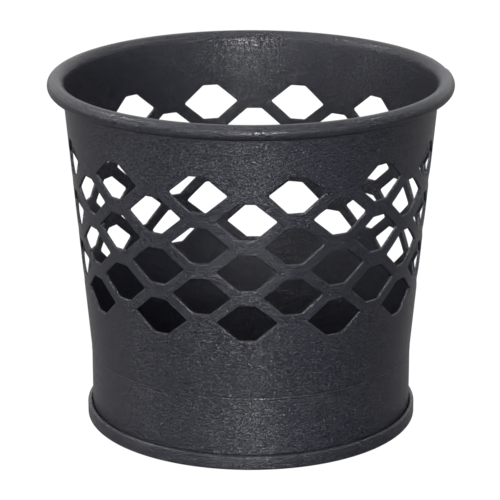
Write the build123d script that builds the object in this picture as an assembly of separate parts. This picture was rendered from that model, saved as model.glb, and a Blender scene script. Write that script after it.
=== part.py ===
from build123d import *
from math import asin, atan2, cos, degrees, hypot, radians, sin
import os

# Pen holder cup: a pierced steel wall, curled at the rim, on a base pan that is
# hooked to it all round in a double seam.  Millimetres.  +Z is up, the origin is
# the middle of the cup's underside, and -Y is the front.

# ---------------------------------------------------------------- driving sizes
CUP_HEIGHT = 87.7           # table to the top of the curled rim
RIM_DIAMETER = 100.0        # over the curled rim
BAND_DIAMETER = 80.3        # outside of the straight band above the foot
BAND_TOP = 17.8             # height of the crease where the band turns into the cone
WALL_SHEET = 0.6            # wall steel with its coating
PAN_SHEET = 0.3             # base pan steel with its coating
FLOOR_HEIGHT = 4.6          # table to the upper side of the floor

# Curled rim: a wide shoulder out of the wall, then a tighter roll.
SHOULDER_RADIUS = 2.45      # outside of the sheet
ROLL_RADIUS = 1.85          # outside of the sheet
ROLL_TURN = 225.0           # degrees, from the top of the rim down and back in
CREASE_RADIUS = 0.6         # middle of the sheet

# Double seam, the foot ring that the cup stands on.
SEAM_HEIGHT = 3.7
LAP_GAP = 0.03              # between two lapped layers
HOOK_GAP = 0.3              # between a hook's cut edge and the bend it points at
FOOT_BEND = 0.45            # middle of the pan sheet, where it turns under the foot
FLOOR_BEND = 0.8            # middle of the pan sheet, where the floor turns down

# Pierced pattern: staggered columns of six-sided openings, pointed left and right.
COLUMNS = 24
ROWS = 6                    # each row holds every other column
TOP_ROW_DROP = 18.1         # from the top of the rim to the middle of the top row
ROW_SPACING = 6.42          # height between the middles of two rows
OPENING_WIDTH = 14.1        # over the rounded points
OPENING_HEIGHT = 8.9
OPENING_FLAT = 3.9          # width of the level edge, between its sharp corners
POINT_RADIUS = 0.4
CORNER_RADIUS = 0.6
FIRST_COLUMN = -1.2         # degrees from the front, positive towards +X
PUNCH_MARGIN = 3.0          # how far a punch starts inside the wall's narrowest place

# Joint of the rolled blank: the two ends of the curl stop short of each other.
JOINT_ANGLE = 99.0          # degrees from the front, positive towards +X
JOINT_GAP = 0.4
JOINT_DEPTH = 1.5           # how far the gap reaches in from the outside of the roll

# ------------------------------------------------------------ what follows from them
rim_radius = RIM_DIAMETER / 2
band_radius = BAND_DIAMETER / 2
roll_centre = Vector(rim_radius - ROLL_RADIUS, CUP_HEIGHT - ROLL_RADIUS)
shoulder_centre = Vector(roll_centre.X, CUP_HEIGHT - SHOULDER_RADIUS)
narrowest = min(band_radius - WALL_SHEET, shoulder_centre.X - SHOULDER_RADIUS)

# Radii of the seam's five layers, each at the middle of its sheet, from inside out.
wall_layer = band_radius - WALL_SHEET / 2
half_lap = (WALL_SHEET + PAN_SHEET) / 2 + LAP_GAP
chuck_layer = wall_layer - half_lap
pan_hook_layer = wall_layer + half_lap
wall_hook_layer = pan_hook_layer + half_lap
seaming_layer = wall_hook_layer + half_lap
wall_hook_bend = (wall_hook_layer - wall_layer) / 2
pan_hook_bend = (seaming_layer - pan_hook_layer) / 2
wall_hook_centre = PAN_SHEET + LAP_GAP + WALL_SHEET / 2 + wall_hook_bend
pan_hook_centre = SEAM_HEIGHT - PAN_SHEET / 2 - pan_hook_bend
wall_hook_tip = pan_hook_centre + pan_hook_bend - PAN_SHEET / 2 - HOOK_GAP
pan_hook_tip = wall_hook_centre - wall_hook_bend + WALL_SHEET / 2 + HOOK_GAP


class SheetPath:
    """Middle line of a formed sheet, walked through the half plane (radius, height)."""

    def __init__(self, radius, height, heading):
        self.point = Vector(radius, height)
        self.heading = heading
        self.sides = ([], [])

    def direction(self, angle):
        return Vector(cos(radians(angle)), sin(radians(angle)))

    def offsets(self, thickness):
        return (thickness / 2, -thickness / 2)

    def run(self, length, thickness):
        """Straight on for a length."""
        end = self.point + self.direction(self.heading) * length
        for side, offset in zip(self.sides, self.offsets(thickness)):
            shift = self.direction(self.heading + 90) * offset
            side.append(Line(self.point + shift, end + shift))
        self.point = end

    def bend(self, radius, turn, thickness):
        """An arc about a centre on the left for a positive turn, on the right otherwise."""
        hand = 1 if turn > 0 else -1
        centre = self.point + self.direction(self.heading + 90 * hand) * radius
        start = self.heading - 90 * hand
        for side, offset in zip(self.sides, self.offsets(thickness)):
            arm = radius - offset * hand
            stops = [centre + self.direction(start + turn * share) * arm for share in (0, 0.5, 1)]
            side.append(ThreePointArc(*stops))
        self.heading += turn
        self.point = centre + self.direction(self.heading - 90 * hand) * radius

    def revolved(self):
        """The sheet's closed section turned once about Z."""
        left, right = self.sides
        caps = [Line(left[0] @ 0, right[0] @ 0), Line(left[-1] @ 1, right[-1] @ 1)]
        section = make_face(left + right + caps)
        return revolve(Plane.XZ * section, Axis.Z)


def facing(angle):
    """Plane on the Z axis whose Z looks out at an angle from the front, X level and Y up."""
    turned = radians(angle)
    outward = (sin(turned), -cos(turned), 0)
    level = (cos(turned), sin(turned), 0)
    return Plane(origin=(0, 0, 0), x_dir=level, z_dir=outward)


def punch():
    """A bar of the opening's outline that stands along Z, from inside the wall to past it."""
    half_height = OPENING_HEIGHT / 2
    half_flat = OPENING_FLAT / 2
    half_width = OPENING_WIDTH / 2
    # The sharp point lies beyond the rounded one.  Rounding takes off
    # radius * (1 / sin(half angle) - 1), which depends on the point, so it is repeated.
    sharp = half_width
    for _ in range(20):
        half_angle = atan2(half_height, sharp - half_flat)
        sharp = half_width + POINT_RADIUS * (1 / sin(half_angle) - 1)
    corners = [
        (sharp, 0),
        (half_flat, half_height),
        (-half_flat, half_height),
        (-sharp, 0),
        (-half_flat, -half_height),
        (half_flat, -half_height),
    ]
    outline = make_face(Polyline(*corners, close=True))
    points = outline.vertices().filter_by(lambda vertex: abs(vertex.Y) < half_height / 2)
    outline = fillet(points, POINT_RADIUS)
    blunt = outline.vertices().filter_by(lambda vertex: abs(vertex.Y) > half_height * 0.99)
    outline = fillet(blunt, CORNER_RADIUS)
    start = narrowest - PUNCH_MARGIN
    return Pos(0, 0, start) * extrude(outline, rim_radius - start)


def curled_wall():
    """The wall before piercing: hook, band, cone, shoulder and roll."""
    path = SheetPath(wall_hook_layer, wall_hook_tip, -90)
    path.run(wall_hook_tip - wall_hook_centre, WALL_SHEET)
    path.bend(wall_hook_bend, -180, WALL_SHEET)

    # The cone leaves the crease along a line that just touches the shoulder.
    reach = shoulder_centre - Vector(wall_layer, BAND_TOP)
    shoulder_bend = SHOULDER_RADIUS - WALL_SHEET / 2
    span = hypot(reach.X, reach.Y)
    cone_heading = degrees(atan2(reach.Y, reach.X) + asin(shoulder_bend / span))
    cone_length = (span**2 - shoulder_bend**2) ** 0.5
    lean = cone_heading - 90
    setback = CREASE_RADIUS * abs(sin(radians(lean / 2)) / cos(radians(lean / 2)))

    path.run(BAND_TOP - wall_hook_centre - setback, WALL_SHEET)
    path.bend(CREASE_RADIUS, lean, WALL_SHEET)
    path.run(cone_length - setback, WALL_SHEET)
    path.bend(shoulder_bend, -cone_heading, WALL_SHEET)
    path.bend(ROLL_RADIUS - WALL_SHEET / 2, -ROLL_TURN, WALL_SHEET)
    return path.revolved()


def cup_wall():
    """The wall with its openings, and the gap at the joint of the curl."""
    wall = curled_wall()
    bar = punch()
    top_row = CUP_HEIGHT - TOP_ROW_DROP
    bars = []
    for column in range(COLUMNS):
        angle = FIRST_COLUMN + column * 360 / COLUMNS
        first_row = 1 if column % 2 == 0 else 0
        for row in range(first_row, ROWS, 2):
            height = top_row - row * ROW_SPACING
            bars.append(Pos(0, 0, height) * facing(angle).location * bar)
    wall = wall.cut(*bars)

    # The joint's gap is a slot that reaches from outside the rim into the roll alone.
    slot = Box(JOINT_GAP, 3 * ROLL_RADIUS, 2 * JOINT_DEPTH)
    slot_place = facing(JOINT_ANGLE).location * Pos(0, roll_centre.Y, rim_radius)
    return wall.cut(slot_place * slot)


def base_pan():
    """Floor disc turned down inside the wall, under it, up outside it and into its hook."""
    path = SheetPath(0, FLOOR_HEIGHT - PAN_SHEET / 2, 0)
    path.run(chuck_layer - FLOOR_BEND, PAN_SHEET)
    path.bend(FLOOR_BEND, -90, PAN_SHEET)
    path.run(path.point.Y - PAN_SHEET / 2 - FOOT_BEND, PAN_SHEET)
    path.bend(FOOT_BEND, 90, PAN_SHEET)
    path.run(seaming_layer - chuck_layer - 2 * FOOT_BEND, PAN_SHEET)
    path.bend(FOOT_BEND, 90, PAN_SHEET)
    path.run(pan_hook_centre - path.point.Y, PAN_SHEET)
    path.bend(pan_hook_bend, 180, PAN_SHEET)
    path.run(pan_hook_centre - pan_hook_tip, PAN_SHEET)
    return path.revolved()


def write(name, shape):
    shape.label = name
    export_step(shape, os.path.join("parts", name + ".step"))


os.makedirs("parts", exist_ok=True)
write("cup_wall", cup_wall())
write("base_pan", base_pan())
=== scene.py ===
"""Pen holder cup: a pierced steel wall and a base pan, both in charcoal powder coat.

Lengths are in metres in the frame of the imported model: +Z is up, the origin is the middle
of the cup's underside and -Y is the front.  Angles round the cup are counted from the
front, positive towards +X.
"""

import logging
import math
from dataclasses import dataclass, field
from enum import Enum

import bmesh
import bpy
import numpy as np
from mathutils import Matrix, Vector


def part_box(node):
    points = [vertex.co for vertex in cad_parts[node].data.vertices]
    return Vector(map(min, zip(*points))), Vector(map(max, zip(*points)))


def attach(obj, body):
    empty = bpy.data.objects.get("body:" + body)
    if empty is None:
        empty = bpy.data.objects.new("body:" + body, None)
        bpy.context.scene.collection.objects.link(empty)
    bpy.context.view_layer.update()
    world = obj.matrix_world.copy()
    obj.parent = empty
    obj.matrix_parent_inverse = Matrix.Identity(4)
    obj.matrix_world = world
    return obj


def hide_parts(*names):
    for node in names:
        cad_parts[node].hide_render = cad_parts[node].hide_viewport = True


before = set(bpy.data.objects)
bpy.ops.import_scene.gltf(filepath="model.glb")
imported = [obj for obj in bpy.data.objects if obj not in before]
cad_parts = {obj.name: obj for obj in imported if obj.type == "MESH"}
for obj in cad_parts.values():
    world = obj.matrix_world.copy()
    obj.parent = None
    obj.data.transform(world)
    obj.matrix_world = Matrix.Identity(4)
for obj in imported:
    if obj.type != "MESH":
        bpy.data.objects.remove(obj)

LOG = logging.getLogger("pen_cup")
MM = 0.001
BAND_DIAMETER = 80.3 * MM
TOP_ROW_DROP = 18.1 * MM
FINER = 2.4
NOISE_MIDDLE = 0.5
CREASE_FLANKS = (-0.04, 0.16)
# Grain heights at which the mask for the painted shade in the grain's hollows is 0 and 1.
HOLLOW_SHADE_HEIGHTS = (0.6, 0.2)


class Face(Enum):
    """The two faces of a sheet, seen by someone who walks along its middle line."""

    LEFT = 1
    RIGHT = -1


def smooth_step(values: np.ndarray, start: float, end: float) -> np.ndarray:
    """An S curve from 0 at start to 1 at end.

    The share t of the way from start to end is clipped to 0 and 1, and the result is
    three t squared minus two t cubed.

    Args:
        values: where the curve is wanted.
        start: the value that gives 0.
        end: the value that gives 1.

    Returns:
        An array of the same shape.
    """
    share = np.clip((values - start) / (end - start), 0.0, 1.0)
    return share * share * (3.0 - 2.0 * share)


def on_the_round(radius: np.ndarray, angle: np.ndarray, height: np.ndarray) -> np.ndarray:
    """Points from cylindrical places: radius times (sin angle, -cos angle), and height.

    Args:
        radius: distance from the axis.
        angle: angle from the front in radians.
        height: height above the origin.

    Returns:
        An array with a last axis of x, y and z.
    """
    radius, angle, height = np.broadcast_arrays(radius, angle, height)
    return np.stack([radius * np.sin(angle), -radius * np.cos(angle), height], axis=-1)


def grid_faces(rows: int, columns: int, wraps: bool) -> np.ndarray:
    """Corner numbers of the quads between the points of a grid.

    Quad (i, j) joins points (i, j), (i + 1, j), (i + 1, j + 1) and (i, j + 1).  Where the
    columns wrap, the last column is joined to the first.

    Args:
        rows: points along the first parameter.
        columns: points along the second parameter.
        wraps: whether the second parameter closes on itself.

    Returns:
        An array of four corner numbers a quad.
    """
    numbers = np.arange(rows * columns).reshape(rows, columns)
    if wraps:
        numbers = np.concatenate([numbers, numbers[:, :1]], axis=1)
    quads = [numbers[:-1, :-1], numbers[1:, :-1], numbers[1:, 1:], numbers[:-1, 1:]]
    return np.stack(quads, axis=-1).reshape(-1, 4)


@dataclass
class Patchwork:
    """Grids of points that are laid edge to edge and sewn into one closed mesh."""

    points: list[np.ndarray] = field(default_factory=list)
    quads: list[np.ndarray] = field(default_factory=list)
    count: int = 0

    def add(self, grid: np.ndarray, wraps: bool = True) -> None:
        """Adds one grid of points, or a stack of grids of the same size.

        Args:
            grid: shape (..., rows, columns, 3).
            wraps: whether the columns close on themselves.
        """
        rows, columns = grid.shape[-3:-1]
        stack = grid.reshape(-1, rows * columns, 3)
        pattern = grid_faces(rows, columns, wraps)
        starts = self.count + np.arange(len(stack)) * rows * columns
        self.points.append(stack.reshape(-1, 3))
        self.quads.append((pattern[None, :, :] + starts[:, None, None]).reshape(-1, 4))
        self.count += len(stack) * rows * columns

    def sew(self, name: str, reach: float) -> bpy.types.Object:
        """Makes the object, with points that lie within reach of each other merged.

        Args:
            name: the object's name.
            reach: the distance below which two points are one.

        Returns:
            A smooth-shaded mesh object whose faces point outwards.
        """
        mesh = bpy.data.meshes.new(name)
        mesh.from_pydata(np.concatenate(self.points), [], np.concatenate(self.quads))
        shell = bmesh.new()
        shell.from_mesh(mesh)
        bmesh.ops.remove_doubles(shell, verts=shell.verts, dist=reach)
        bmesh.ops.recalc_face_normals(shell, faces=shell.faces)
        open_edges = sum(1 for edge in shell.edges if len(edge.link_faces) != 2)
        shell.to_mesh(mesh)
        shell.free()
        mesh.shade_smooth()
        piece = bpy.data.objects.new(name, mesh)
        bpy.context.scene.collection.objects.link(piece)
        LOG.info("%s: %d faces, %d open edges", name, len(mesh.polygons), open_edges)
        return piece


class SheetPath:
    """Middle line of a formed sheet, walked through the half plane (radius, height)."""

    def __init__(self, radius: float, height: float, heading: float) -> None:
        """Starts at a point with a heading in degrees, where 0 is outwards and 90 is up."""
        self.places = [np.array([[radius, height]])]
        self.headings = [np.array([heading])]

    @property
    def point(self) -> np.ndarray:
        """The last point so far."""
        return self.places[-1][-1]

    @property
    def heading(self) -> float:
        """The heading at the last point, in degrees."""
        return float(self.headings[-1][-1])

    def run(self, length: float, steps: int = 1) -> None:
        """Straight on: each new point is the last plus a share of length along the heading.

        Args:
            length: how far.
            steps: how many new points.
        """
        shares = np.linspace(0.0, 1.0, steps + 1)[1:, None]
        turn = math.radians(self.heading)
        ahead = np.array([math.cos(turn), math.sin(turn)])
        self.places.append(self.point + shares * length * ahead)
        self.headings.append(np.full(steps, self.heading))

    def bend(self, radius: float, turn: float, steps: int) -> None:
        """An arc: centre plus radius times the direction square to the changing heading.

        Args:
            radius: of the middle line.
            turn: in degrees, positive to the left.
            steps: how many new points.
        """
        hand = math.copysign(1.0, turn)
        start = math.radians(self.heading)
        centre = self.point + radius * hand * np.array([-math.sin(start), math.cos(start)])
        headings = self.heading + turn * np.linspace(0.0, 1.0, steps + 1)[1:]
        angles = np.radians(headings)
        arms = np.stack([np.sin(angles), -np.cos(angles)], axis=-1)
        self.places.append(centre + radius * hand * arms)
        self.headings.append(headings)

    def line(self) -> np.ndarray:
        """All the points of the middle line."""
        return np.concatenate(self.places)

    def face(self, side: Face, offset: float | np.ndarray) -> np.ndarray:
        """The middle line moved sideways by an offset, which may differ from point to point.

        Args:
            side: which face.
            offset: distance from the middle line.

        Returns:
            An array of (radius, height).
        """
        angles = np.radians(np.concatenate(self.headings))
        sideways = np.stack([-np.sin(angles), np.cos(angles)], axis=-1) * side.value
        return self.line() + sideways * np.reshape(offset, (-1, 1))

    def cap(self, at_end: bool, half: float, steps: int = 6) -> np.ndarray:
        """A coated cut edge: a half circle from the left face round to the right one.

        A point is the path's end plus half times (cos a to the left, sin a ahead), with a
        from 0 to 180 degrees and both ends left out.

        Args:
            at_end: the end of the path, or its start.
            half: half of the sheet's thickness.
            steps: how many parts the half circle has.

        Returns:
            An array of (radius, height).
        """
        index = -1 if at_end else 0
        angle = math.radians(np.concatenate(self.headings)[index])
        left = np.array([-math.sin(angle), math.cos(angle)])
        ahead = np.array([math.cos(angle), math.sin(angle)]) * (1.0 if at_end else -1.0)
        around = np.linspace(0.0, math.pi, steps + 1)[1:-1, None]
        return self.line()[index] + half * (np.cos(around) * left + np.sin(around) * ahead)


@dataclass
class Seam:
    """The five lapped layers of the double seam at the foot, from the inside out."""

    band_radius: float
    wall_sheet: float = 0.6 * MM
    pan_sheet: float = 0.3 * MM
    lap_gap: float = 0.03 * MM
    hook_gap: float = 0.3 * MM
    height: float = 3.7 * MM
    foot_bend: float = 0.45 * MM
    floor_bend: float = 0.8 * MM

    def __post_init__(self) -> None:
        """Works out where the middle of each layer lies."""
        self.lap = (self.wall_sheet + self.pan_sheet) / 2 + self.lap_gap
        self.wall = self.band_radius - self.wall_sheet / 2
        self.chuck = self.wall - self.lap
        self.wall_hook = self.wall + 2 * self.lap
        self.seaming = self.wall + 3 * self.lap
        self.low_centre = self.pan_sheet + self.lap_gap + self.wall_sheet / 2 + self.lap
        self.high_centre = self.height - self.pan_sheet / 2 - self.lap
        self.wall_hook_tip = self.high_centre + self.lap - self.pan_sheet / 2 - self.hook_gap
        self.pan_hook_tip = self.low_centre - self.lap + self.wall_sheet / 2 + self.hook_gap


@dataclass
class Piercing:
    """Staggered columns of six-sided openings with pointed sides."""

    top_row: float
    columns: int = 24
    rows: int = 6
    row_spacing: float = 6.42 * MM
    width: float = 14.1 * MM
    height: float = 8.9 * MM
    flat: float = 3.9 * MM
    point_radius: float = 0.4 * MM
    corner_radius: float = 0.6 * MM
    first_column: float = math.radians(-1.2)
    edge_round: float = 0.24 * MM
    parts: tuple[int, int, int, int] = (2, 5, 4, 2)

    @property
    def quarter(self) -> int:
        """Points along a quarter of an opening, and along one side of its cell."""
        return sum(self.parts)

    @property
    def column_angle(self) -> float:
        """Angle between two columns."""
        return 2 * math.pi / self.columns

    def height_of(self, row: float) -> float:
        """Height of the middle of a row, counted down from 0 at the top."""
        return self.top_row - row * self.row_spacing

    def unfold(self, quarter: np.ndarray) -> np.ndarray:
        """A closed loop from its first quarter, mirrored left to right and top to bottom.

        Args:
            quarter: points from the right-hand end to the top, both included.

        Returns:
            Points once round, counter-clockwise, the first one not repeated.
        """
        back = quarter[::-1]
        flips = [
            quarter[:-1],
            (back * (-1.0, 1.0))[:-1],
            -quarter[:-1],
            (back * (1.0, -1.0))[:-1],
        ]
        return np.concatenate(flips)

    def outline(self) -> tuple[np.ndarray, np.ndarray]:
        """The opening's edge and the direction into the metal, from the right-hand point.

        A quarter is the half arc of the point, the sloping side, the arc of the corner and
        half of the level edge.  On an arc, a place is centre plus radius times direction.

        Returns:
            Points and unit directions, one row each.
        """
        top = self.height / 2
        corner = self.flat / 2
        sharp = self.width / 2
        for _ in range(20):
            slope = math.atan2(top, sharp - corner)
            sharp = self.width / 2 + self.point_radius * (1 / math.sin(slope) - 1)
        square = math.pi / 2 - slope
        side = np.array([math.cos(square), math.sin(square)])
        point_centre = np.array([sharp - self.point_radius / math.sin(slope), 0.0])
        level = top - self.corner_radius
        across = (side[0] * sharp - self.corner_radius - side[1] * level) / side[0]
        corner_centre = np.array([across, level])

        point_parts, side_parts, corner_parts, flat_parts = self.parts
        point_angles = np.linspace(0.0, square, point_parts + 1)[:, None]
        point_ways = np.concatenate([np.cos(point_angles), np.sin(point_angles)], axis=1)
        corner_angles = np.linspace(square, math.pi / 2, corner_parts + 1)[:, None]
        corner_ways = np.concatenate([np.cos(corner_angles), np.sin(corner_angles)], axis=1)
        point_arc = point_centre + self.point_radius * point_ways
        corner_arc = corner_centre + self.corner_radius * corner_ways
        shares = np.linspace(0.0, 1.0, side_parts + 1)[1:-1, None]
        slope_line = point_arc[-1] + shares * (corner_arc[0] - point_arc[-1])
        shares = np.linspace(0.0, 1.0, flat_parts + 1)[1:, None]
        flat_line = corner_arc[-1] * (1 - shares) + np.array([0.0, top]) * shares
        edge = np.concatenate([point_arc, slope_line, corner_arc, flat_line])
        ways = np.concatenate(
            [
                point_ways,
                np.tile(side, (len(slope_line), 1)),
                corner_ways,
                np.tile([0.0, 1.0], (len(flat_line), 1)),
            ]
        )
        return self.unfold(edge), self.unfold(ways)

    def cell_edge(self) -> np.ndarray:
        """The diamond that belongs to one opening: its corners are 1 away along each axis."""
        shares = np.linspace(0.0, 1.0, self.quarter + 1)[:, None]
        return self.unfold(np.concatenate([1.0 - shares, shares], axis=1))

    def section(self, thickness: float) -> np.ndarray:
        """The way from one face of the sheet, over the coated edge, to the other face.

        Each row is (share of the way from the opening to the cell's edge, distance of the
        opening's side into the metal, depth below the outer face).  The edge is a quarter
        circle at each face: into the metal by round times (1 - sin a), and below the face
        by round times (1 - cos a).

        Args:
            thickness: of the sheet with its coating.

        Returns:
            An array of three columns.
        """
        radius = self.edge_round
        shares = np.array([1.0, 0.3, 0.0])
        turn = np.linspace(0.0, math.pi / 2, 4)[1:]
        outer = np.stack([shares, np.full(3, radius), np.zeros(3)], axis=1)
        inward, down = radius * (1 - np.sin(turn)), radius * (1 - np.cos(turn))
        over = np.stack([np.zeros(3), inward, down], axis=1)
        near = np.concatenate([outer, over])
        far = near[::-1] * (1.0, 1.0, -1.0) + (0.0, 0.0, thickness)
        return np.concatenate([near, far])

    def border(self, angle: np.ndarray, row: int) -> np.ndarray:
        """Height of the cells' zigzag edge above the top row or below the bottom one.

        It is a triangle wave: a whole row spacing past the row at its own columns, and
        none at the columns between them.

        Args:
            angle: where it is wanted.
            row: the first row or the last one.

        Returns:
            Heights.
        """
        own_column = (row + 1) % 2
        place = (angle - self.first_column) / self.column_angle - own_column
        away = np.abs((place + 1.0) % 2.0 - 1.0)
        outward = 1.0 if row == 0 else -1.0
        return self.height_of(row) + outward * self.row_spacing * (1.0 - away)


@dataclass
class CupWall:
    """The wall: hook, band, cone with its openings, shoulder and roll, in one sheet."""

    height: float
    rim_radius: float
    seam: Seam
    piercing: Piercing
    band_top: float = 17.8 * MM
    shoulder_radius: float = 2.45 * MM
    roll_radius: float = 1.85 * MM
    roll_turn: float = 225.0
    crease_radius: float = 0.6 * MM
    crease_height: float = 0.08 * MM
    crease_wave: float = 0.75 * MM
    crease_fade: float = 0.6
    crease_reach: float = 1.1 * MM
    coat_build: float = 0.15 * MM
    coat_start: float = 5.0 * MM
    coat_full: float = 8.0 * MM
    margin: float = 0.9 * MM
    joint_angle: float = math.radians(99.0)
    joint_reach: float = math.radians(9.0)
    joint_crowding: float = 2.3
    joint_depth: float = 0.35 * MM
    joint_half_width: float = 0.4 * MM
    joint_step: float = 0.25 * MM
    step_reach: float = math.radians(12.0)
    merge: float = 0.002 * MM

    def __post_init__(self) -> None:
        """Works out the cone, which just touches the shoulder's arc."""
        self.half = self.seam.wall_sheet / 2
        roll_axis = self.rim_radius - self.roll_radius
        self.roll_centre = np.array([roll_axis, self.height - self.roll_radius])
        shoulder_centre = np.array([roll_axis, self.height - self.shoulder_radius])
        reach = shoulder_centre - np.array([self.seam.wall, self.band_top])
        bend = self.shoulder_radius - self.half
        span = math.hypot(*reach)
        self.cone_heading = math.degrees(math.atan2(reach[1], reach[0]) + math.asin(bend / span))
        self.cone_length = math.sqrt(span**2 - bend**2)
        self.lean = math.radians(90.0 - self.cone_heading)
        self.top_border = self.piercing.height_of(-1) + self.margin
        self.low_border = self.piercing.height_of(self.piercing.rows) - self.margin
        samples = self.piercing.columns * self.piercing.quarter
        turns = np.arange(samples) / samples
        self.angles = self.piercing.first_column + turns * 2 * math.pi

    def cone_radius(self, height: np.ndarray) -> np.ndarray:
        """Outer radius of the cone: the middle line's radius there plus half a sheet."""
        middle = self.seam.wall + (height - self.band_top) * math.tan(self.lean)
        return middle + self.half / math.cos(self.lean)

    def inner_step(self) -> float:
        """Radial thickness of the pierced part, with the coating that has built up."""
        return (2 * self.half + self.coat_build) / math.cos(self.lean)

    def lower_outline(self) -> np.ndarray:
        """The section below the openings, from the inner face round the hook to the outer.

        The crease is a tiny ridge between two grooves, in the outer face only: its height
        times the cosine of the way past it in wavelengths, under a bell curve.  The inner
        face keeps every fourth point there.

        Returns:
            An array of (radius, height).
        """
        seam = self.seam
        path = SheetPath(seam.wall_hook, seam.wall_hook_tip, -90.0)
        path.run(seam.wall_hook_tip - seam.low_centre)
        path.bend(seam.lap, -180.0, 8)
        turned = len(path.line())
        setback = self.crease_radius * math.tan(self.lean / 2)
        crease_start = self.band_top - setback - self.crease_reach
        path.run(0.5 * (crease_start - path.point[1]), 2)
        path.run(crease_start - path.point[1], 2)
        path.run(self.crease_reach, 7)
        path.bend(self.crease_radius, -math.degrees(self.lean), 2)
        path.run(self.crease_reach, 7)
        heights = path.line()[:, 1]
        extra = self.coat_build * smooth_step(heights, self.coat_start, self.coat_full)
        waves = (heights - self.band_top) / self.crease_wave
        bell = np.exp(-((waves / self.crease_fade) ** 2))
        ridge = self.crease_height * np.cos(2 * math.pi * waves) * bell
        ridge[:turned] = 0.0
        extra[:turned] = 0.0
        plain = np.abs(waves) > self.crease_reach / self.crease_wave
        kept = plain | (np.arange(len(waves)) % 4 == 0)
        inner = path.face(Face.LEFT, self.half + extra)[kept]
        outer = path.face(Face.RIGHT, self.half + ridge)
        steps = np.linspace(0.0, 1.0, 4)[1:, None]
        outer_end = np.array([self.cone_radius(self.low_border), self.low_border])
        inner_end = outer_end - (self.inner_step(), 0.0)
        outer_cone = outer[-1] + steps * (outer_end - outer[-1])
        inner_cone = inner[-1] + steps * (inner_end - inner[-1])
        hook_edge = path.cap(False, self.half)
        return np.concatenate([inner_cone[::-1], inner[::-1], hook_edge, outer, outer_cone])

    def upper_outline(self) -> np.ndarray:
        """The section above the openings, from the outer face round the roll to the inner.

        Returns:
            An array of (radius, height).
        """
        along = self.cone_length * np.array([math.sin(self.lean), math.cos(self.lean)])
        start = np.array([self.seam.wall, self.band_top]) + along
        path = SheetPath(start[0], start[1], self.cone_heading)
        path.bend(self.shoulder_radius - self.half, -self.cone_heading, 12)
        path.bend(self.roll_radius - self.half, -self.roll_turn, 26)
        outer = path.face(Face.RIGHT, self.half)
        inner = path.face(Face.LEFT, self.half)
        outer_start = np.array([self.cone_radius(self.top_border), self.top_border])
        inner_start = outer_start - (self.inner_step(), 0.0)
        shares = np.linspace(0.0, 1.0, 5)[:-1, None]
        outer_cone = outer_start + shares * (outer[0] - outer_start)
        inner_cone = inner_start + shares * (inner[0] - inner_start)
        raw_edge = path.cap(True, self.half)
        return np.concatenate([outer_cone, outer, raw_edge[::-1], inner[::-1], inner_cone[::-1]])

    def turned(self, outline: np.ndarray) -> np.ndarray:
        """A section carried round the axis, with the joint of the roll pressed into it.

        Near the joint the angles crowd together above the cone: an angle d away becomes
        reach times (d / reach) to the power of crowding.  The two ends of the roll don't
        quite meet: each point of the roll moves towards its centre by depth times
        (1 - distance / half width), and behind the joint by a further step that fades out
        over its own reach, where those are above zero.

        Args:
            outline: (radius, height) of each point of the section.

        Returns:
            Grid of points, one row a point of the section.
        """
        radius = outline[:, :1]
        height = outline[:, 1:]
        away = (self.angles - self.joint_angle + math.pi) % (2 * math.pi) - math.pi
        share = np.clip(np.abs(away) / self.joint_reach, 0.0, 1.0)
        crowded = np.sign(away) * self.joint_reach * share**self.joint_crowding
        near = np.where(share < 1.0, crowded, away)
        under_roll = self.height - 2 * self.roll_radius
        crown = smooth_step(height, self.top_border + self.margin, under_roll)
        angle = self.angles + crown * (near - away)[None, :]
        past = near[None, :] * crown + away[None, :] * (1 - crown)
        closeness = np.clip(1 - radius * np.abs(past) / self.joint_half_width, 0.0, 1.0)
        groove = self.joint_depth * closeness
        fading = np.clip(1 - past / self.step_reach, 0.0, 1.0)
        step = self.joint_step * np.where(past > 0.0, fading, 0.0)
        arm = self.roll_centre - outline
        length = np.linalg.norm(arm, axis=1, keepdims=True)
        pull = np.maximum(groove, step) * crown / length
        new_radius = radius + pull * arm[:, :1]
        new_height = height + pull * arm[:, 1:]
        return on_the_round(new_radius, angle, new_height)

    def pierced_cells(self) -> np.ndarray:
        """A ring of metal round each opening, from the outer face through to the inner one.

        In a cell, a point of the opening's edge is moved into the metal, then a share of
        the way to the matching point of the cell's diamond, both as (angle, height).  Its
        radius is the cone's there less the depth.

        Returns:
            A stack of grids, one a cell, with the section along the first axis.
        """
        piercing = self.piercing
        columns, rows = np.arange(piercing.columns), np.arange(piercing.rows)
        column, row = np.meshgrid(columns, rows, indexing="ij")
        chosen = (column + row) % 2 == 1
        around = piercing.first_column + column[chosen] * piercing.column_angle
        middle_angle = around[:, None, None]
        middle_height = piercing.height_of(row[chosen])[:, None, None]
        edge, ways = piercing.outline()
        diamond = piercing.cell_edge()
        section = piercing.section(self.inner_step())
        share = section[:, 0][None, :, None]
        into = section[:, 1][:, None, None]
        depth = section[:, 2][None, :, None]

        place = edge[None, :, :] + into * ways[None, :, :]
        edge_height = middle_height + place[None, :, :, 1]
        edge_angle = middle_angle + np.arcsin(place[None, :, :, 0] / self.cone_radius(edge_height))
        cell_angle = middle_angle + diamond[:, 0] * piercing.column_angle
        cell_height = middle_height + diamond[:, 1] * piercing.row_spacing
        angle = edge_angle + share * (cell_angle - edge_angle)
        height = edge_height + share * (cell_height - edge_height)
        return on_the_round(self.cone_radius(height) - depth, angle, height)

    def border_strip(self, row: int, end: float, depth: float) -> np.ndarray:
        """Plain metal between the cells' zigzag edge and a level circle.

        A height is the zigzag's plus a share of the way to the circle.

        Args:
            row: the row of openings that it lies beside.
            end: height of the circle.
            depth: 0 for the outer face, the thickness for the inner one.

        Returns:
            Grid of points.
        """
        edge = self.piercing.border(self.angles, row)[None, :]
        share = np.linspace(0.0, 1.0, 4)[:, None]
        height = edge + share * (end - edge)
        return on_the_round(self.cone_radius(height) - depth, self.angles[None, :], height)

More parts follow.
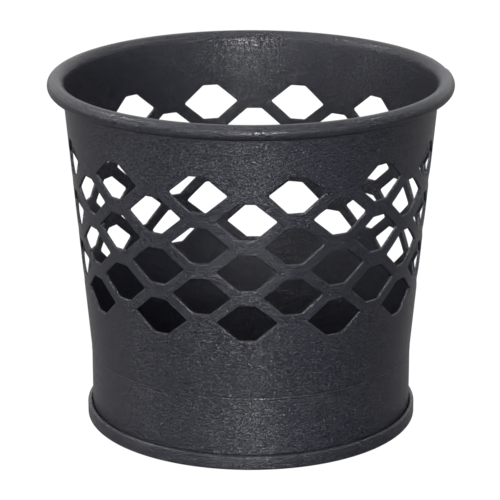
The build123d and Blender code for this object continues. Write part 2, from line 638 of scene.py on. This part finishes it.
    def build(self) -> bpy.types.Object:
        """Lays the parts of the wall edge to edge and sews them.

        Returns:
            The wall as one closed mesh.
        """
        sheet = Patchwork()
        sheet.add(self.turned(self.lower_outline()))
        sheet.add(self.turned(self.upper_outline()))
        sheet.add(self.pierced_cells())
        for depth in (0.0, self.inner_step()):
            sheet.add(self.border_strip(0, self.top_border, depth))
            sheet.add(self.border_strip(self.piercing.rows - 1, self.low_border, depth))
        return sheet.sew("cup_wall_coated", self.merge)


@dataclass
class BasePan:
    """The floor disc with its rim turned down, under the wall, up and over into a hook."""

    seam: Seam
    floor_height: float
    spokes: int = 240
    merge: float = 0.002 * MM

    def outline(self) -> np.ndarray:
        """The pan's section, from the axis along the upper face and back along the lower.

        Returns:
            An array of (radius, height).
        """
        seam = self.seam
        half = seam.pan_sheet / 2
        path = SheetPath(0.0, self.floor_height - half, 0.0)
        path.run(seam.chuck - seam.floor_bend, 6)
        path.bend(seam.floor_bend, -90.0, 8)
        path.run(path.point[1] - half - seam.foot_bend, 2)
        path.bend(seam.foot_bend, 90.0, 6)
        path.run(seam.seaming - seam.chuck - 2 * seam.foot_bend, 2)
        path.bend(seam.foot_bend, 90.0, 6)
        path.run(seam.high_centre - path.point[1], 2)
        path.bend(seam.lap, 180.0, 14)
        path.run(seam.high_centre - seam.pan_hook_tip, 2)
        upper = path.face(Face.LEFT, half)
        lower = path.face(Face.RIGHT, half)
        return np.concatenate([upper, path.cap(True, half), lower[::-1]])

    def build(self) -> bpy.types.Object:
        """Carries the section round the axis: radius times (sin, -cos), and height.

        Returns:
            The pan as one closed mesh.
        """
        outline = self.outline()
        angles = np.arange(self.spokes) * 2 * math.pi / self.spokes
        sheet = Patchwork()
        sheet.add(on_the_round(outline[:, :1], angles[None, :], outline[:, 1:]))
        return sheet.sew("base_pan_coated", self.merge)


def group_socket(
    group: bpy.types.NodeTree, name: str, goes_in: bool, value: float | None = None
) -> None:
    """Gives a node group a named number socket.

    Args:
        group: the group.
        name: the socket's name.
        goes_in: an input, or an output.
        value: an input's default.
    """
    kind = "INPUT" if goes_in else "OUTPUT"
    socket = group.interface.new_socket(name, in_out=kind, socket_type="NodeSocketFloat")
    if value is not None:
        socket.default_value = value


def grain_group() -> bpy.types.NodeTree:
    """Leathery grain of textured powder coat.

    A soft noise crosses its middle value along winding lines, and those lines are the
    creases: the height is the noise's distance from its middle, levelled off into flat
    hills, with a share of a finer noise on top.  The shaded hollow is the height turned
    over, the mask along which the coat paints shade into the grain's hollows, and the
    cloud is a slow noise for places where the coat lies thicker.

    Returns:
        The node group, with Grain Size, Fine Share, Cloud Size in and Height, Hollow, Cloud out.
    """
    group = bpy.data.node_groups.new("Powder Grain", "ShaderNodeTree")
    group_socket(group, "Grain Size", True, 0.7 * MM)
    group_socket(group, "Fine Share", True, 0.25)
    group_socket(group, "Cloud Size", True, 9 * MM)
    group_socket(group, "Height", False)
    group_socket(group, "Shaded Hollow", False)
    group_socket(group, "Cloud", False)
    nodes, links = group.nodes, group.links
    entry = nodes.new("NodeGroupInput")
    leave = nodes.new("NodeGroupOutput")
    where = nodes.new("ShaderNodeTexCoord")

    def noise(size: bpy.types.NodeSocket, finer: float, distortion: float) -> bpy.types.NodeSocket:
        """A noise on the object's own coordinates.

        Args:
            size: socket that gives the size of its features.
            finer: how many times finer than that size.
            distortion: how much it winds.

        Returns:
            The noise, about 0 to 1.
        """
        divide = nodes.new("ShaderNodeMath")
        divide.operation = "DIVIDE"
        divide.inputs[0].default_value = finer
        links.new(size, divide.inputs[1])
        texture = nodes.new("ShaderNodeTexNoise")
        texture.inputs["Detail"].default_value = 1.0
        texture.inputs["Distortion"].default_value = distortion
        links.new(where.outputs["Object"], texture.inputs["Vector"])
        links.new(divide.outputs[0], texture.inputs["Scale"])
        return texture.outputs["Fac"]

    def from_range(value: bpy.types.NodeSocket, low: float, high: float) -> bpy.types.NodeSocket:
        """A smooth step.

        Args:
            value: socket to read.
            low: the value that gives 0.
            high: the value that gives 1.

        Returns:
            The step, 0 to 1.
        """
        step = nodes.new("ShaderNodeMapRange")
        step.interpolation_type = "SMOOTHSTEP"
        step.inputs["From Min"].default_value = low
        step.inputs["From Max"].default_value = high
        links.new(value, step.inputs["Value"])
        return step.outputs["Result"]

    coarse = noise(entry.outputs["Grain Size"], 1.0, 0.5)
    fine = noise(entry.outputs["Grain Size"], FINER, 0.0)
    cloud = noise(entry.outputs["Cloud Size"], 1.0, 0.3)
    centred = nodes.new("ShaderNodeMath")
    centred.operation = "SUBTRACT"
    centred.inputs[1].default_value = NOISE_MIDDLE
    links.new(coarse, centred.inputs[0])
    away = nodes.new("ShaderNodeMath")
    away.operation = "ABSOLUTE"
    links.new(centred.outputs[0], away.inputs[0])
    hill = from_range(away.outputs[0], *CREASE_FLANKS)
    blend = nodes.new("ShaderNodeMix")
    links.new(entry.outputs["Fine Share"], blend.inputs["Factor"])
    links.new(hill, blend.inputs["A"])
    links.new(fine, blend.inputs["B"])
    links.new(blend.outputs["Result"], leave.inputs["Height"])
    # The hollow mask: where it is 1, the coat paints shade into the grain's hollows.
    links.new(from_range(blend.outputs["Result"], *HOLLOW_SHADE_HEIGHTS), leave.inputs["Shaded Hollow"])
    links.new(cloud, leave.inputs["Cloud"])
    return group


@dataclass(frozen=True)
class PowderCoat:
    """Satin charcoal powder coat with a leathery grain.

    Shade is painted into the grain's hollows: their colour is darker, and Metallic
    takes their gloss away as painted shade on the shine, because a metal shines only
    with its own colour, and theirs is nearly black.
    """

    name: str = "charcoal_powder_coat"
    hill_color: tuple[float, float, float] = (0.0085, 0.0090, 0.0158)
    # Painted shade: the darker colour of the grain's hollows stands in for the shade that falls in
    # them.
    hollow_shade_color: tuple[float, float, float] = (0.0022, 0.0024, 0.0044)
    roughness: float = 0.23
    roughness_spread: float = 0.02
    ior: float = 1.46
    # Painted shade on the shine: how much Metallic, with the nearly black colour, dulls the
    # hollows' gloss.
    hollow_shade_dullness: float = 0.95
    grain_size: float = 0.44 * MM
    fine_share: float = 0.25
    grain_depth: float = 0.09 * MM

    def make(self, grain: bpy.types.NodeTree) -> bpy.types.Material:
        """Builds the material.

        Args:
            grain: the shared grain group.

        Returns:
            A material whose colour, roughness and bump follow the grain, with shade
            painted into the grain's hollows.
        """
        material = bpy.data.materials.new(self.name)
        material.use_nodes = True
        nodes, links = material.node_tree.nodes, material.node_tree.links
        shader = nodes["Principled BSDF"]
        shader.inputs["IOR"].default_value = self.ior
        relief = nodes.new("ShaderNodeGroup")
        relief.node_tree = grain
        relief.inputs["Grain Size"].default_value = self.grain_size
        relief.inputs["Fine Share"].default_value = self.fine_share

        # Painted shade: the colour goes from the hills' to the darker hollows' along the hollow
        # mask.
        shade_tint = nodes.new("ShaderNodeMix")
        shade_tint.data_type = "RGBA"
        shade_tint.inputs["A"].default_value = (*self.hill_color, 1.0)
        shade_tint.inputs["B"].default_value = (*self.hollow_shade_color, 1.0)
        links.new(relief.outputs["Shaded Hollow"], shade_tint.inputs["Factor"])
        links.new(shade_tint.outputs["Result"], shader.inputs["Base Color"])

        gloss = nodes.new("ShaderNodeMapRange")
        gloss.inputs["To Min"].default_value = self.roughness - self.roughness_spread
        gloss.inputs["To Max"].default_value = self.roughness + self.roughness_spread
        links.new(relief.outputs["Cloud"], gloss.inputs["Value"])
        links.new(gloss.outputs["Result"], shader.inputs["Roughness"])

        # Painted shade on the shine: Metallic rises in the hollows and takes their gloss away.
        shine_shade = nodes.new("ShaderNodeMapRange")
        shine_shade.inputs["To Max"].default_value = self.hollow_shade_dullness
        links.new(relief.outputs["Shaded Hollow"], shine_shade.inputs["Value"])
        links.new(shine_shade.outputs["Result"], shader.inputs["Metallic"])

        bump = nodes.new("ShaderNodeBump")
        bump.inputs["Strength"].default_value = 1.0
        bump.inputs["Distance"].default_value = self.grain_depth
        links.new(relief.outputs["Height"], bump.inputs["Height"])
        links.new(bump.outputs["Normal"], shader.inputs["Normal"])
        return material


@dataclass(frozen=True)
class Softbox:
    """A square lamp on a stand, turned to the cup."""

    name: str
    azimuth: float
    elevation: float
    distance: float
    width: float
    height: float
    power: float

    def place(self, target: np.ndarray) -> None:
        """Hangs the lamp at its azimuth from the front and elevation, facing the target.

        Args:
            target: the point that it faces and its distance is measured from.
        """
        lamp = bpy.data.lights.new(self.name, "AREA")
        lamp.shape = "RECTANGLE"
        lamp.size = self.width
        lamp.size_y = self.height
        lamp.energy = self.power
        holder = bpy.data.objects.new(self.name, lamp)
        holder.location = target + self.distance * direction(self.azimuth, self.elevation)
        aim(holder, target)
        bpy.context.scene.collection.objects.link(holder)


def background_share(
    tree: bpy.types.NodeTree, seen: float, in_gloss: float
) -> bpy.types.NodeSocket:
    """How much of the white background a ray meets.

    The share is seen times (camera ray + transmission ray), plus in_gloss times glossy ray.

    Args:
        tree: the material's or the world's nodes.
        seen: the share for camera and transmission rays.
        in_gloss: the share for glossy rays.

    Returns:
        The share, for a ray of each kind.
    """
    nodes, links = tree.nodes, tree.links
    ray = nodes.new("ShaderNodeLightPath")
    gloss = nodes.new("ShaderNodeMath")
    gloss.operation = "MULTIPLY"
    gloss.inputs[1].default_value = in_gloss
    links.new(ray.outputs["Is Glossy Ray"], gloss.inputs[0])
    straight = nodes.new("ShaderNodeMath")
    links.new(ray.outputs["Is Camera Ray"], straight.inputs[0])
    links.new(ray.outputs["Is Transmission Ray"], straight.inputs[1])
    share = nodes.new("ShaderNodeMath")
    share.operation = "MULTIPLY_ADD"
    share.inputs[1].default_value = seen
    links.new(straight.outputs[0], share.inputs[0])
    links.new(gloss.outputs[0], share.inputs[2])
    return share.outputs[0]


def direction(azimuth: float, elevation: float) -> np.ndarray:
    """Unit vector: cos(up) times (sin around, -cos around), and sin(up).

    Args:
        azimuth: angle round from the front, in degrees.
        elevation: angle up from level, in degrees.

    Returns:
        An array of x, y and z.
    """
    around, up = math.radians(azimuth), math.radians(elevation)
    level = math.cos(up)
    return np.array([level * math.sin(around), -level * math.cos(around), math.sin(up)])


def aim(thing: bpy.types.Object, target: np.ndarray) -> None:
    """Turns an object so that its -Z looks at the target and its Y is up."""
    away = Vector(target) - Vector(thing.location)
    thing.rotation_euler = away.to_track_quat("-Z", "Y").to_euler()


@dataclass
class Studio:
    """Pale floor, soft lamps and the camera."""

    target: np.ndarray
    camera_distance: float = 643.7 * MM
    camera_elevation: float = 17.61
    lens: float = 185.1
    shift: tuple[float, float] = (-0.00174, -0.01962)
    floor_side: float = 8.0
    table_color: float = 0.08
    table_roughness: float = 0.3
    table_ior: float = 1.8
    glow_share: float = 0.95
    glow_level: float = 1.06
    glow_in_gloss: float = 0.02
    fill: float = 0.02
    lamps: tuple[Softbox, ...] = (
        Softbox("front_softbox", 4.0, 15.0, 1.0, 0.30, 0.44, 18.5),
        Softbox("left_softbox", -82.0, 20.0, 1.0, 0.40, 0.50, 4.0),
        Softbox("high_left_softbox", -108.0, 52.0, 1.0, 0.34, 0.26, 6.5),
        Softbox("high_right_softbox", 106.0, 52.0, 1.0, 0.25, 0.22, 2.4),
        Softbox("top_softbox", -20.0, 82.0, 1.0, 0.25, 0.25, 1.8),
    )

    def lay_floor(self) -> bpy.types.Object:
        """A pale floor under the cup.

        The eye, and whatever is seen through glass, meet it nearly white, with a soft
        shadow left in it.  Gloss and bounced light meet a satin table top, which keeps
        the sides of a dark cup dark and draws the lamps out into tall streaks.

        Returns:
            The floor.
        """
        half = self.floor_side / 2
        corners = [(-half, -half, 0.0), (half, -half, 0.0), (half, half, 0.0), (-half, half, 0.0)]
        mesh = bpy.data.meshes.new("floor")
        mesh.from_pydata(corners, [], [(0, 1, 2, 3)])
        floor = bpy.data.objects.new("floor", mesh)
        bpy.context.scene.collection.objects.link(floor)
        material = bpy.data.materials.new("pale_floor")
        material.use_nodes = True
        nodes, links = material.node_tree.nodes, material.node_tree.links
        table = nodes["Principled BSDF"]
        table.inputs["Base Color"].default_value = (self.table_color,) * 3 + (1.0,)
        table.inputs["Roughness"].default_value = self.table_roughness
        table.inputs["IOR"].default_value = self.table_ior
        glow = nodes.new("ShaderNodeEmission")
        glow.inputs["Strength"].default_value = self.glow_level
        seen = nodes.new("ShaderNodeMixShader")
        share = background_share(material.node_tree, self.glow_share, self.glow_in_gloss)
        links.new(share, seen.inputs["Fac"])
        links.new(table.outputs["BSDF"], seen.inputs[1])
        links.new(glow.outputs["Emission"], seen.inputs[2])
        links.new(seen.outputs["Shader"], nodes["Material Output"].inputs["Surface"])
        mesh.materials.append(material)
        return floor

    def light(self) -> None:
        """Hangs the lamps in a room that looks white and adds only a little light."""
        for lamp in self.lamps:
            lamp.place(self.target)
        world = bpy.data.worlds.new("studio_room")
        world.use_nodes = True
        nodes, links = world.node_tree.nodes, world.node_tree.links
        background = nodes["Background"]
        background.inputs["Color"].default_value = (1.0, 1.0, 1.0, 1.0)
        level = nodes.new("ShaderNodeMapRange")
        level.inputs["To Min"].default_value = self.fill
        level.inputs["To Max"].default_value = 1.0
        links.new(background_share(world.node_tree, 1.0, 1.0), level.inputs["Value"])
        links.new(level.outputs["Result"], background.inputs["Strength"])
        bpy.context.scene.world = world
        bpy.context.scene.view_settings.view_transform = "Standard"

    def set_camera(self) -> None:
        """Stands the camera in front of the cup, a little above it."""
        lens = bpy.data.cameras.new("portrait_camera")
        lens.lens = self.lens
        lens.shift_x, lens.shift_y = self.shift
        lens.clip_start = 0.01
        camera = bpy.data.objects.new("portrait_camera", lens)
        away = direction(0.0, self.camera_elevation)
        camera.location = self.target + self.camera_distance * away
        aim(camera, self.target)
        bpy.context.scene.collection.objects.link(camera)
        bpy.context.scene.camera = camera


def main() -> None:
    """Builds the cup's two pieces, dresses them, and sets the studio round them."""
    logging.basicConfig(level=logging.INFO, format="%(name)s: %(message)s")
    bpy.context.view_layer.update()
    _, wall_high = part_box("cup_wall")
    _, pan_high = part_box("base_pan")

    seam = Seam(band_radius=BAND_DIAMETER / 2)
    piercing = Piercing(top_row=wall_high.z - TOP_ROW_DROP)
    cup_wall = CupWall(wall_high.z, wall_high.x, seam, piercing)
    wall = cup_wall.build()
    pan = BasePan(seam=seam, floor_height=pan_high.z).build()

    coat = PowderCoat().make(grain_group())
    for piece, node in ((wall, "cup_wall"), (pan, "base_pan")):
        piece.data.materials.append(coat)
        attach(piece, "root")
        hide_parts(node)
        LOG.info("%s stands for %s", piece.name, node)

    studio = Studio(target=np.array([0.0, 0.0, 45.0 * MM]))
    studio.lay_floor()
    studio.light()
    studio.set_camera()


if __name__ == "__main__":
    main()
